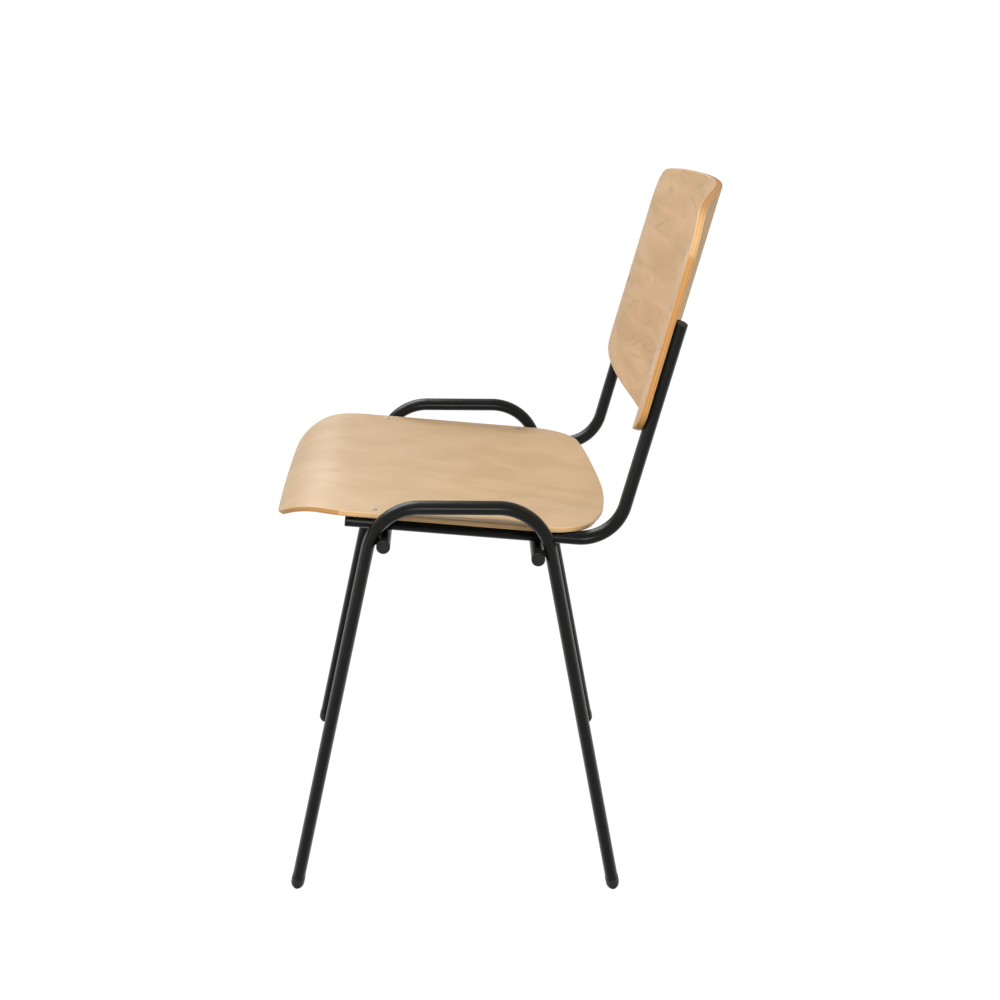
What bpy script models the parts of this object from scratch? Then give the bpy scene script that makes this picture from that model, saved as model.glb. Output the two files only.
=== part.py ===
"""Stacking conference chair: bent oval-tube frame, moulded plywood seat and curved plywood backrest.

The chair stands on z = 0 and faces -Y, so +X is the sitter's left-hand side. Lengths are in metres.
Every piece hangs on one empty, which sets the middle of the chair's bounding box over the origin.
"""

import math

import bmesh
import bpy
from mathutils import Matrix, Vector

MM = 0.001

# Oval steel tube of the leg frames and rails
TUBE_WIDTH = 30 * MM  # across the chair
TUBE_DEPTH = 15 * MM  # in the plane of the bends
TUBE_WALL = 1.5 * MM
OVAL_SIDES = 20
BEND_STEPS = 8

# Leg frames: front leg, top bar and rear leg bent from one tube
FOOT_SPREAD = 378.7 * MM  # front foot to rear foot on the floor
LEG_SPACING_FLOOR = 524 * MM  # left to right, between centrelines
LEG_SPACING_TOP = 506 * MM
HOOP_HEIGHT = 467.8 * MM  # centreline of the top bar
FRONT_LEG_LEAN = math.radians(11.7)
REAR_LEG_LEAN = math.radians(11.05)
HOOP_BEND_RADIUS = 62 * MM

# Rails: seat rail and back upright bent from one tube
RAIL_LEG_GAP = 3.2 * MM  # between a rail's outer side and the leg beside it
RAIL_DROP = 33.9 * MM  # under the hoops' top bars, over the middle of the feet
RAIL_PITCH = math.radians(4.5)  # seat rails fall towards the rear
RAIL_FRONT_LENGTH = 130 * MM  # from the middle of the feet forwards
RAIL_REAR_LENGTH = 183.9 * MM  # from the middle of the feet back to the upright's line
RAIL_BEND_RADIUS = 53 * MM
UPRIGHT_LEAN = math.radians(15.05)
UPRIGHT_LENGTH = 267.5 * MM  # from the seat rail's line up to the plug

# Round cross tubes, each in the corner between a leg and the rails
CROSS_DIAMETER = 16 * MM
CROSS_WALL = 1.5 * MM
ROUND_SIDES = 16

# Moulded plywood seat
SEAT_THICKNESS = 6.5 * MM
SEAT_DEPTH = 399.7 * MM
SEAT_SIDE_GAP = 2.2 * MM  # to the leg frame on each side
SEAT_REAR_REACH = 44.7 * MM  # past the start of the rails' bends
SEAT_FRONT_ARCH = 4900 * MM  # outline radius of the front edge
SEAT_REAR_ARCH = 760 * MM
SEAT_FRONT_CORNER = 91 * MM
SEAT_REAR_CORNER = 62 * MM
NOSE_LENGTH = 57.2 * MM  # rolled front edge
NOSE_RADIUS = 65 * MM
DISH_DEPTH = 14 * MM  # hollow in the rear half, between the rails
DISH_LENGTH = 200 * MM
DISH_RAIL_MARGIN = 11 * MM
NOSE_ROWS = 6
SEAT_ROWS = 9

# Moulded plywood backrest
BACK_THICKNESS = 9 * MM
BACK_HOLLOW = 37.5 * MM  # how far the middle lies behind the flat sides
BACK_FLAT = 10 * MM  # flat strip along each side, on the uprights
BACK_DROP = 162 * MM  # from the uprights' tops down to the bottom edge's middle
BACK_LENGTH = 306.2 * MM
BACK_OVERHANG = 18 * MM  # past the uprights' centrelines at the bottom
BACK_TAPER = 11.2 * MM  # each side draws in by this much towards the top
BACK_TOP_ARCH = 980 * MM
BACK_BOTTOM_ARCH = 836 * MM
BACK_TOP_CORNER = 54 * MM
BACK_BOTTOM_CORNER = 28 * MM
BACK_ROWS = 10
PANEL_COLUMNS = 7
CORNER_COLUMNS = 6
PANEL_EDGE_ROUND = 1.5 * MM

# Plastic feet and end plugs
FOOT_HEIGHT = 12 * MM
FOOT_LIP = 0.4 * MM  # foot stands proud of the tube
FOOT_SIDE = 7.8 * MM  # upright rim above the rounding
FOOT_ROUND = 5 * MM
PLUG_CAP = 2.5 * MM
PLUG_ROUND = 1.2 * MM
PLUG_DEPTH = 14 * MM

# Domed bolts that hold the two shells and thread into the tubes' front walls
BOLT_DIAMETER = 4 * MM
BOLT_HEAD_DIAMETER = 7 * MM
BOLT_HEAD_HEIGHT = 1.2 * MM
BOLT_END_ROOM = 1.5 * MM  # bolts stop this far short of a tube's middle
SEAT_BOLT_LEAD = 14.4 * MM  # ahead of the cross tubes' centres
BACK_BOLT_DROP = 33 * MM  # below the uprights' tops
SCREW_SIDES = 12
ROUNDING_TURNS = [math.radians(turn) for turn in (22, 44, 63, 80)]  # points on rounded rims and domes

# Clearances
CONTACT_GAP = 0.3 * MM  # between pieces that touch or are welded
SLIP_GAP = 0.3 * MM  # around spigots and bolts
CUT_MARGIN = 10 * MM  # cutters start this far outside

SIDES = {"left": 1, "right": -1}


# Helpers for materials, bodies and lofts

def finish(name, colour, roughness, metallic=0.0):
    material = bpy.data.materials.new(name)
    material.use_nodes = True
    shader = material.node_tree.nodes["Principled BSDF"]
    shader.inputs["Base Color"].default_value = (*colour, 1.0)
    shader.inputs["Roughness"].default_value = roughness
    shader.inputs["Metallic"].default_value = metallic
    material.diffuse_color = (*colour, 1.0)
    return material


def add_body(name, bm, material, matrix=Matrix.Identity(4)):
    mesh = bpy.data.meshes.new(name)
    bm.to_mesh(mesh)
    bm.free()
    mesh.shade_smooth()
    mesh.set_sharp_from_angle(angle=math.radians(40))
    mesh.materials.append(material)
    body = bpy.data.objects.new(name, mesh)
    bpy.context.collection.objects.link(body)
    body.parent = chair
    body.matrix_basis = matrix
    return body


def oval_ring(half_width, half_depth, height, sides=OVAL_SIDES):
    angles = (2 * math.pi * k / sides for k in range(sides))
    return [Vector((half_width * math.cos(a), half_depth * math.sin(a), height)) for a in angles]


def round_ring(radius, height, sides=SCREW_SIDES):
    return oval_ring(radius, radius, height, sides)


def skin(bm, first, second):
    for k in range(len(first)):
        following = (k + 1) % len(first)
        bm.faces.new((first[k], first[following], second[following], second[k]))


def loft(rings):
    """Closed body through a row of rings that have as many points each."""
    bm = bmesh.new()
    loops = [[bm.verts.new(point) for point in ring] for ring in rings]
    for first, second in zip(loops, loops[1:]):
        skin(bm, first, second)
    bm.faces.new(loops[0])
    bm.faces.new(loops[-1])
    bmesh.ops.recalc_face_normals(bm, faces=bm.faces)
    return bm


def bend(corners, radius):
    """Centreline through the corners, with an arc of the given radius at each inner one."""
    path = [corners[0]]
    for before, corner, after in zip(corners, corners[1:], corners[2:]):
        arriving = (corner - before).normalized()
        leaving = (after - corner).normalized()
        turn = arriving.angle(leaving)
        inward = (leaving - arriving).normalized()
        centre = corner + inward * radius / math.cos(turn / 2)
        axis = arriving.cross(leaving).normalized()
        spoke = corner - arriving * radius * math.tan(turn / 2) - centre
        for step in range(BEND_STEPS + 1):
            path.append(centre + Matrix.Rotation(turn * step / BEND_STEPS, 3, axis) @ spoke)
    path.append(corners[-1])
    return path


def tube(path, across, width, depth, wall, sides):
    """Hollow tube with open ends; across is the direction of the section's width all along the path."""
    bm = bmesh.new()
    outer, inner = [], []
    for k, point in enumerate(path):
        along = (path[min(k + 1, len(path) - 1)] - path[max(k - 1, 0)]).normalized()
        inplane = along.cross(across).normalized()
        for loops, thinner in ((outer, 0.0), (inner, wall)):
            ring = oval_ring(width / 2 - thinner, depth / 2 - thinner, 0.0, sides)
            loops.append([bm.verts.new(point + across * p.x + inplane * p.y) for p in ring])
    for loops in (outer, inner):
        for first, second in zip(loops, loops[1:]):
            skin(bm, first, second)
    skin(bm, outer[0], inner[0])
    skin(bm, outer[-1], inner[-1])
    bmesh.ops.recalc_face_normals(bm, faces=bm.faces)
    return bm


def aim(place, up, across):
    """Frame at a place whose Z axis is up and whose X axis lies as near to across as it can."""
    z = up.normalized()
    y = z.cross(across).normalized()
    x = y.cross(z)
    return Matrix.Translation(place) @ Matrix((x, y, z)).transposed().to_4x4()


def cut_hole(target, matrix, radius, depth):
    """Round hole along the frame's Z axis, from just above its origin to the given depth."""
    bm = loft([round_ring(radius, CUT_MARGIN), round_ring(radius, -depth)])
    cutter = add_body(target.name + ".cutter", bm, target.data.materials[0], matrix)
    cutter.hide_render = True
    cutter.display_type = "WIRE"
    hole = target.modifiers.new("hole", "BOOLEAN")
    hole.object = cutter
    hole.operation = "DIFFERENCE"
    hole.solver = "EXACT"


# Places that several pieces share

def leg_x(height):
    """Leg centreline's distance from the middle plane at a height."""
    fall = (LEG_SPACING_FLOOR - LEG_SPACING_TOP) / HOOP_HEIGHT
    return (LEG_SPACING_FLOOR - fall * height) / 2


def leg_point(side, y, height):
    return Vector((side * leg_x(height), y, height))


def cross_centre(foot_y, lean):
    """Cross tube's centre in the side view: under the rail, against the leg or the hoop's bend above it."""
    inward = math.copysign(1.0, -foot_y)
    leg_along = Vector((inward * math.sin(lean), math.cos(lean)))
    leg_normal = Vector((inward * math.cos(lean), -math.sin(lean)))
    rail_normal = Vector((math.sin(RAIL_PITCH), math.cos(RAIL_PITCH)))
    rail_along = inward * Vector((math.cos(RAIL_PITCH), -math.sin(RAIL_PITCH)))
    reach = TUBE_DEPTH / 2 + CONTACT_GAP + CROSS_DIAMETER / 2
    distances = Vector((foot_y * leg_normal.x + reach, RAIL_HEIGHT * rail_normal.y - reach))
    centre = Matrix((leg_normal, rail_normal)).inverted() @ distances
    top = Vector((foot_y + inward * math.tan(lean) * HOOP_HEIGHT, HOOP_HEIGHT))
    bend_start = top - leg_along * HOOP_BEND_RADIUS * math.tan(math.pi / 4 - lean / 2)
    if (centre - bend_start).dot(leg_along) > 0:
        off_centre = centre - bend_start - leg_normal * HOOP_BEND_RADIUS
        ahead = off_centre.dot(rail_along)
        room = (HOOP_BEND_RADIUS - reach) ** 2 - off_centre.length_squared
        centre -= rail_along * (ahead + math.sqrt(ahead ** 2 + room))
    return centre


FEET = {
    "front": (-FOOT_SPREAD / 2, FRONT_LEG_LEAN),
    "rear": (FOOT_SPREAD / 2, REAR_LEG_LEAN),
}
RAIL_HEIGHT = HOOP_HEIGHT - RAIL_DROP
LEG_ACROSS = {
    name: Vector((1.0, 0.0, side * (LEG_SPACING_FLOOR - LEG_SPACING_TOP) / 2 / HOOP_HEIGHT)).normalized()
    for name, side in SIDES.items()
}
CROSS = {end: cross_centre(*foot) for end, foot in FEET.items()}
RAIL_X = leg_x(RAIL_HEIGHT) - TUBE_WIDTH - RAIL_LEG_GAP
RAIL_TURN = math.pi / 2 - UPRIGHT_LEAN + RAIL_PITCH
RAIL_BEND_START = RAIL_REAR_LENGTH - RAIL_BEND_RADIUS * math.tan(RAIL_TURN / 2)
# Frame of the seat rails: Y runs back along them, Z is square to them, over the feet's middle
SEAT_FRAME = Matrix.Translation((0.0, 0.0, RAIL_HEIGHT)) @ Matrix.Rotation(-RAIL_PITCH, 4, "X")
# Frame of the uprights: Z runs up along them from the seat rails' line, Y is square to them, backwards
RAIL_CORNER = SEAT_FRAME @ Vector((0.0, RAIL_REAR_LENGTH, 0.0))
BACK_FRAME = Matrix.Translation(RAIL_CORNER) @ Matrix.Rotation(-UPRIGHT_LEAN, 4, "X")


# Frame of bent tubes

def leg_frame(name, side):
    corners = []
    for foot_y, lean in FEET.values():
        inward = math.copysign(1.0, -foot_y)
        top = leg_point(side, foot_y + inward * math.tan(lean) * HOOP_HEIGHT, HOOP_HEIGHT)
        floor = leg_point(side, foot_y, 0.0)
        end = floor + (top - floor).normalized() * FOOT_HEIGHT
        corners.append((end, top))
    (front_end, front_top), (rear_end, rear_top) = corners
    path = bend([front_end, front_top, rear_top, rear_end], HOOP_BEND_RADIUS)
    bm = tube(path, LEG_ACROSS[name], TUBE_WIDTH, TUBE_DEPTH, TUBE_WALL, OVAL_SIDES)
    add_body("leg_frame_" + name, bm, POWDER_COAT)


def rail(name, side):
    front = SEAT_FRAME @ Vector((side * RAIL_X, -RAIL_FRONT_LENGTH + PLUG_CAP, 0.0))
    corner = BACK_FRAME @ Vector((side * RAIL_X, 0.0, 0.0))
    top = BACK_FRAME @ Vector((side * RAIL_X, 0.0, UPRIGHT_LENGTH - PLUG_CAP))
    path = bend([front, corner, top], RAIL_BEND_RADIUS)
    bm = tube(path, Vector((1.0, 0.0, 0.0)), TUBE_WIDTH, TUBE_DEPTH, TUBE_WALL, OVAL_SIDES)
    return add_body("rail_" + name, bm, POWDER_COAT)


def cross_end(end):
    """Cross tubes end level with the legs' outer sides."""
    y, z = CROSS[end]
    return Vector((leg_x(z) + TUBE_WIDTH / 2, y, z))


def cross_tube(end):
    tip = cross_end(end)
    half = tip.x - PLUG_CAP
    path = [Vector((-half, tip.y, tip.z)), Vector((half, tip.y, tip.z))]
    bm = tube(path, Vector((0.0, 1.0, 0.0)), CROSS_DIAMETER, CROSS_DIAMETER, CROSS_WALL, ROUND_SIDES)
    add_body("cross_tube_" + end, bm, POWDER_COAT)


# Plastic feet and plugs

def foot(name, side_name, foot_y, lean):
    """Tip with a spigot in the tube, a rounded rim and a flat sole on the floor."""
    side = SIDES[side_name]
    inward = math.copysign(1.0, -foot_y)
    floor = leg_point(side, foot_y, 0.0)
    up = leg_point(side, foot_y + inward * math.tan(lean) * HOOP_HEIGHT, HOOP_HEIGHT) - floor
    lean_over = aim(Vector(), up, LEG_ACROSS[side_name])
    spigot = TUBE_WALL + SLIP_GAP
    cap_top = FOOT_HEIGHT - CONTACT_GAP
    round_start = cap_top - FOOT_SIDE
    sections = [
        (FOOT_HEIGHT + PLUG_DEPTH, -spigot),
        (cap_top, -spigot),
        (cap_top, FOOT_LIP),
        (round_start, FOOT_LIP),
    ]
    for turn in ROUNDING_TURNS:
        height = round_start - FOOT_ROUND * math.sin(turn)
        sections.append((height, FOOT_LIP - FOOT_ROUND * (1 - math.cos(turn))))
    rings = [oval_ring(TUBE_WIDTH / 2 + grow, TUBE_DEPTH / 2 + grow, height) for height, grow in sections]
    bm = loft([[lean_over @ point for point in ring] for ring in rings])
    everything = bm.verts[:] + bm.edges[:] + bm.faces[:]
    cut = bmesh.ops.bisect_plane(
        bm, geom=everything, plane_co=(0.0, 0.0, 0.0), plane_no=(0.0, 0.0, 1.0), clear_inner=True
    )
    sole = [item for item in cut["geom_cut"] if isinstance(item, bmesh.types.BMEdge)]
    bmesh.ops.edgenet_fill(bm, edges=sole)
    bmesh.ops.recalc_face_normals(bm, faces=bm.faces)
    add_body(name, bm, BLACK_PLASTIC, Matrix.Translation(floor))


def end_plug(name, matrix, width, depth, wall, sides):
    """Plug with its cap on the tube's end; the frame's origin is the middle of the cap's outer face."""
    rim = -PLUG_CAP + CONTACT_GAP
    spigot = wall + SLIP_GAP
    sections = [
        (rim - PLUG_DEPTH, -spigot),
        (rim, -spigot),
        (rim, 0.0),
    ]
    for turn in (0.0, math.pi / 4, math.pi / 2):
        sections.append((-PLUG_ROUND * (1 - math.sin(turn)), -PLUG_ROUND * (1 - math.cos(turn))))
    rings = [oval_ring(width / 2 + grow, depth / 2 + grow, height, sides) for height, grow in sections]
    add_body(name, loft(rings), BLACK_PLASTIC, matrix)


def rail_plugs(name, side):
    across = Vector((1.0, 0.0, 0.0))
    front = SEAT_FRAME @ Vector((side * RAIL_X, -RAIL_FRONT_LENGTH, 0.0))
    forwards = SEAT_FRAME.to_3x3() @ Vector((0.0, -1.0, 0.0))
    front_frame = aim(front, forwards, across)
    end_plug("rail_plug_" + name, front_frame, TUBE_WIDTH, TUBE_DEPTH, TUBE_WALL, OVAL_SIDES)
    top = BACK_FRAME @ Vector((side * RAIL_X, 0.0, UPRIGHT_LENGTH))
    upwards = BACK_FRAME.to_3x3() @ Vector((0.0, 0.0, 1.0))
    top_frame = aim(top, upwards, across)
    end_plug("upright_plug_" + name, top_frame, TUBE_WIDTH, TUBE_DEPTH, TUBE_WALL, OVAL_SIDES)


def cross_plug(end, name, side):
    tip = cross_end(end)
    tip.x *= side
    matrix = aim(tip, Vector((side, 0.0, 0.0)), Vector((0.0, 1.0, 0.0)))
    end_plug(f"cross_plug_{end}_{name}", matrix, CROSS_DIAMETER, CROSS_DIAMETER, CROSS_WALL, ROUND_SIDES)


# Moulded plywood shells

def rounded_edge(x, half_width, reach, arch, corner):
    """How far a panel's arched edge stands out at x; corner arcs run it into the straight sides."""
    arch_centre = reach - arch
    corner_x = half_width - corner
    meeting_x = arch * corner_x / (arch - corner)
    if abs(x) <= meeting_x:
        return arch_centre + math.sqrt(arch ** 2 - x ** 2)
    corner_y = arch_centre + math.sqrt((arch - corner) ** 2 - corner_x ** 2)
    return corner_y + math.sqrt(max(corner ** 2 - (abs(x) - corner_x) ** 2, 0.0))


def panel_columns(half_width, corner):
    """Places across a panel, close together where its corners turn."""
    flat = half_width - corner
    columns = [flat * k / PANEL_COLUMNS for k in range(PANEL_COLUMNS)]
    turns = (math.pi / 2 * k / CORNER_COLUMNS for k in range(CORNER_COLUMNS + 1))
    columns += [flat + corner * math.sin(turn) for turn in turns]
    return [-x for x in reversed(columns[1:])] + columns


def panel(name, columns, shares, surface, thickness, matrix):
    """Shell of even thickness behind a moulded face; surface gives a point for a column and a share."""
    bm = bmesh.new()
    grid = [[bm.verts.new(surface(x, share)) for share in shares] for x in columns]
    for first, second in zip(grid, grid[1:]):
        for row in range(len(shares) - 1):
            bm.faces.new((first[row], second[row], second[row + 1], first[row + 1]))
    shell = add_body(name, bm, BEECH_PLY, matrix)
    ply = shell.modifiers.new("thickness", "SOLIDIFY")
    ply.thickness = thickness
    ply.offset = -1.0
    ply.use_even_offset = True
    rim = shell.modifiers.new("eased_edge", "BEVEL")
    rim.width = PANEL_EDGE_ROUND
    rim.segments = 2
    rim.limit_method = "ANGLE"
    rim.angle_limit = math.radians(60)
    return shell


def smooth_step(share):
    share = min(max(share, 0.0), 1.0)
    return share * share * (3 - 2 * share)


SEAT_HALF_WIDTH = leg_x(RAIL_HEIGHT + TUBE_DEPTH) - TUBE_WIDTH / 2 - SEAT_SIDE_GAP
SEAT_REAR = RAIL_BEND_START + SEAT_REAR_REACH
SEAT_FRONT = SEAT_REAR - SEAT_DEPTH
SEAT_TOP = TUBE_DEPTH / 2 + CONTACT_GAP + SEAT_THICKNESS


def seat_point(x, share):
    front = -rounded_edge(x, SEAT_HALF_WIDTH, -SEAT_FRONT, SEAT_FRONT_ARCH, SEAT_FRONT_CORNER)
    rear = rounded_edge(x, SEAT_HALF_WIDTH, SEAT_REAR, SEAT_REAR_ARCH, SEAT_REAR_CORNER)
    y = front + (rear - front) * share
    into_nose = max(SEAT_FRONT + NOSE_LENGTH - y, 0.0)
    nose = NOSE_RADIUS - math.sqrt(NOSE_RADIUS ** 2 - into_nose ** 2)
    dish_half = RAIL_X - TUBE_WIDTH / 2 - DISH_RAIL_MARGIN
    across = max(1 - abs(x / dish_half) ** 3, 0.0) ** 2
    along = smooth_step((y - SEAT_REAR + DISH_LENGTH) / DISH_LENGTH)
    return Vector((x, y, SEAT_TOP - nose - DISH_DEPTH * across * along))


def seat_shell():
    nose_share = NOSE_LENGTH / SEAT_DEPTH
    shares = [nose_share * k / NOSE_ROWS for k in range(NOSE_ROWS)]
    shares += [nose_share + (1 - nose_share) * k / SEAT_ROWS for k in range(SEAT_ROWS + 1)]
    columns = panel_columns(SEAT_HALF_WIDTH, max(SEAT_FRONT_CORNER, SEAT_REAR_CORNER))
    return panel("seat_shell", columns, shares, seat_point, SEAT_THICKNESS, SEAT_FRAME)


BACK_HALF_WIDTH = RAIL_X + BACK_OVERHANG
BACK_SIDE_Y = -(TUBE_DEPTH / 2 + CONTACT_GAP + BACK_THICKNESS)  # face of the flat sides


def back_hollow(x):
    """How far the moulded face lies behind its flat sides."""
    share = min(abs(x) / (BACK_HALF_WIDTH - BACK_FLAT), 1.0)
    return BACK_HOLLOW * (1 + math.cos(math.pi * share)) / 2


def back_point(x, share):
    top = BACK_LENGTH / 2
    low = -rounded_edge(x, BACK_HALF_WIDTH, top, BACK_BOTTOM_ARCH, BACK_BOTTOM_CORNER)
    high = rounded_edge(x, BACK_HALF_WIDTH, top, BACK_TOP_ARCH, BACK_TOP_CORNER)
    z = low + (high - low) * share
    x *= 1 - BACK_TAPER / BACK_HALF_WIDTH * (z + top) / BACK_LENGTH
    return Vector((x, BACK_SIDE_Y + back_hollow(x), UPRIGHT_LENGTH - BACK_DROP + top + z))


def back_shell():
    shares = [k / BACK_ROWS for k in range(BACK_ROWS + 1)]
    columns = panel_columns(BACK_HALF_WIDTH, max(BACK_TOP_CORNER, BACK_BOTTOM_CORNER))
    return panel("back_shell", columns, shares, back_point, BACK_THICKNESS, BACK_FRAME)


# Bolts

def bolt(name, matrix, length):
    """Domed bolt; the frame's origin is on the shell's face, Z points out of it."""
    shank = BOLT_DIAMETER / 2
    head = BOLT_HEAD_DIAMETER / 2
    rings = [round_ring(shank, -length), round_ring(shank, CONTACT_GAP), round_ring(head, CONTACT_GAP)]
    for turn in ROUNDING_TURNS:
        rings.append(round_ring(head * math.cos(turn), CONTACT_GAP + BOLT_HEAD_HEIGHT * math.sin(turn)))
    add_body(name, loft(rings), ZINC_STEEL, matrix)


def fasten(name, shell, carrier, matrix, to_middle):
    """Bolt through a shell into the tube behind it, with its holes; to_middle reaches the tube's centre."""
    hole = BOLT_DIAMETER / 2 + SLIP_GAP
    for target in (shell, carrier):
        cut_hole(target, matrix, hole, to_middle)
    bolt(name, matrix, to_middle - BOLT_END_ROOM)


def seat_bolts(seat, rails):
    """Each bolt is square to the seat, over the middle of a rail and ahead of a cross tube."""
    for end, (y, z) in CROSS.items():
        along = (SEAT_FRAME.inverted() @ Vector((0.0, y, z))).y - SEAT_BOLT_LEAD
        for name, side in SIDES.items():
            matrix = SEAT_FRAME @ Matrix.Translation((side * RAIL_X, along, SEAT_TOP))
            fasten(f"seat_bolt_{end}_{name}", seat, rails[name], matrix, SEAT_TOP)


def back_bolts(back, rails):
    """Each bolt is square to a flat side of the backrest, in front of the upright's middle."""
    forwards = Vector((0.0, -1.0, 0.0))
    for name, side in SIDES.items():
        face = Vector((side * RAIL_X, BACK_SIDE_Y, UPRIGHT_LENGTH - BACK_BOLT_DROP))
        matrix = BACK_FRAME @ aim(face, forwards, Vector((0.0, 0.0, 1.0)))
        fasten("back_bolt_" + name, back, rails[name], matrix, -BACK_SIDE_Y)


def centre_over_origin():
    """Moves the empty so that the chair's bounding box is centred front to back."""
    bpy.context.view_layer.update()
    depsgraph = bpy.context.evaluated_depsgraph_get()
    reach = []
    for body in chair.children:
        if not body.hide_render:
            evaluated = body.evaluated_get(depsgraph)
            reach += [(evaluated.matrix_world @ vertex.co).y for vertex in evaluated.data.vertices]
    chair.location.y = -(min(reach) + max(reach)) / 2


for leftover in list(bpy.data.objects):
    bpy.data.objects.remove(leftover)

chair = bpy.data.objects.new("chair", None)
bpy.context.collection.objects.link(chair)

POWDER_COAT = finish("black_powder_coat", (0.022, 0.022, 0.022), 0.45)
BEECH_PLY = finish("beech_plywood", (0.70, 0.49, 0.31), 0.45)
BLACK_PLASTIC = finish("black_plastic", (0.02, 0.02, 0.02), 0.55)
ZINC_STEEL = finish("zinc_plated_steel", (0.66, 0.66, 0.64), 0.3, 1.0)

chair_rails = {}
for side_name, sign in SIDES.items():
    leg_frame(side_name, sign)
    chair_rails[side_name] = rail(side_name, sign)
    rail_plugs(side_name, sign)
    for end_name, (foot_place, foot_lean) in FEET.items():
        foot(f"foot_{end_name}_{side_name}", side_name, foot_place, foot_lean)
        cross_plug(end_name, side_name, sign)
for end_name in CROSS:
    cross_tube(end_name)
seat_bolts(seat_shell(), chair_rails)
back_bolts(back_shell(), chair_rails)
centre_over_origin()
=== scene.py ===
"""Looks of the stacking conference chair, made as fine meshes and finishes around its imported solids.

Black powder-coated oval tubes, moulded beech plywood shells, black plastic tips and zinc-plated bolts.
The chair stands on z = 0 and faces -Y, so +X is the sitter's left-hand side. Lengths are in metres.
"""

import math

import bmesh
import bpy
from mathutils import Matrix, Vector


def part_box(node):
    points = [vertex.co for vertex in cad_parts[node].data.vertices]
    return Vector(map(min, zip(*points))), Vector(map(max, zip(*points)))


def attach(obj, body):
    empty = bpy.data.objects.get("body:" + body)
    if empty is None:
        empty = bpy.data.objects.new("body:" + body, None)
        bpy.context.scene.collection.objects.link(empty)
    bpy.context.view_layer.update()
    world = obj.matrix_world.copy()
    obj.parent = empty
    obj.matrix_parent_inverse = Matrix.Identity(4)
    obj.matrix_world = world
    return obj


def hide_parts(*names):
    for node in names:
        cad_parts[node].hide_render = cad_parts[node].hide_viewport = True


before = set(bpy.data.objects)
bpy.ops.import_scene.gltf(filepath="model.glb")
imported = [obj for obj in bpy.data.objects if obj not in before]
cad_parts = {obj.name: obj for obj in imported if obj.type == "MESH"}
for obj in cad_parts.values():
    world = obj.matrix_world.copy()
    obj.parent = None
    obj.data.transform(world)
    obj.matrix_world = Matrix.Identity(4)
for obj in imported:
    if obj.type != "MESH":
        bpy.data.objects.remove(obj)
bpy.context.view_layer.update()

MM = 0.001
SIDES = {"left": 1, "right": -1}
ACROSS = Vector((1.0, 0.0, 0.0))
FORWARDS = Vector((0.0, -1.0, 0.0))
BACKWARDS = Vector((0.0, 1.0, 0.0))
UP = Vector((0.0, 0.0, 1.0))
SHARP_ANGLE = math.radians(38)  # steeper edges stay sharp in the shading
FEET_MIDDLE_Y = -51.351 * MM  # middle between the front and rear feet; the pieces are made around it

# Oval tube and its two bent shapes
TUBE_WIDTH = 30 * MM
TUBE_DEPTH = 15 * MM
TUBE_WALL = 1.5 * MM
FOOT_SPREAD = 378.7 * MM
LEG_SPACING_FLOOR = 524 * MM
LEG_SPACING_TOP = 506 * MM
HOOP_HEIGHT = 467.8 * MM
HOOP_BEND_RADIUS = 62 * MM
FEET = {
    "front": (-FOOT_SPREAD / 2, math.radians(11.7)),
    "rear": (FOOT_SPREAD / 2, math.radians(11.05)),
}
RAIL_HEIGHT = HOOP_HEIGHT - 33.9 * MM
RAIL_LEG_GAP = 3.2 * MM
RAIL_PITCH = math.radians(4.5)
RAIL_FRONT_LENGTH = 130 * MM
RAIL_REAR_LENGTH = 183.9 * MM
RAIL_BEND_RADIUS = 53 * MM
UPRIGHT_LEAN = math.radians(15.05)
UPRIGHT_LENGTH = 267.5 * MM
CROSS_DIAMETER = 16 * MM
CROSS_WALL = 1.5 * MM
OVAL_SIDES = 56
ROUND_SIDES = 40
BEND_STEPS = 32
OVAL_TUBE = (TUBE_WIDTH, TUBE_DEPTH, TUBE_WALL, OVAL_SIDES)
ROUND_TUBE = (CROSS_DIAMETER, CROSS_DIAMETER, CROSS_WALL, ROUND_SIDES)

# Weld beads where a cross tube meets a leg or a rail
BEAD_RADIUS = 1.7 * MM
BEAD_SINK = 0.8  # share of the radius that lies inside the tubes
BEAD_RIPPLE = 0.1
BEAD_RIPPLES = 26
BEAD_STEPS = 130
BEAD_SIDES = 10

# Moulded seat
SEAT_THICKNESS = 6.5 * MM
SEAT_DEPTH = 399.7 * MM
SEAT_SIDE_GAP = 2.2 * MM
SEAT_REAR_REACH = 44.7 * MM
SEAT_FRONT_ARCH = 4900 * MM
SEAT_REAR_ARCH = 760 * MM
SEAT_FRONT_CORNER = 91 * MM
SEAT_REAR_CORNER = 62 * MM
NOSE_LENGTH = 57.2 * MM
NOSE_RADIUS = 65 * MM
NOSE_START = 16 * MM  # soft start of the roll
DISH_DEPTH = 14 * MM
DISH_LENGTH = 200 * MM
DISH_RAIL_MARGIN = 11 * MM
DISH_FLATNESS = 3  # power that keeps the middle of the hollow flat
DISH_SOFTNESS = 2  # power that lets its borders run out softly
SEAT_ROWS = 130

# Moulded backrest
BACK_THICKNESS = 9 * MM
BACK_HOLLOW = 37.5 * MM
BACK_FLAT = 10 * MM
BACK_DROP = 162 * MM
BACK_LENGTH = 306.2 * MM
BACK_OVERHANG = 18 * MM
BACK_TAPER = 11.2 * MM
BACK_TOP_ARCH = 980 * MM
BACK_BOTTOM_ARCH = 836 * MM
BACK_TOP_CORNER = 54 * MM
BACK_BOTTOM_CORNER = 28 * MM
BACK_ROWS = 90

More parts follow.
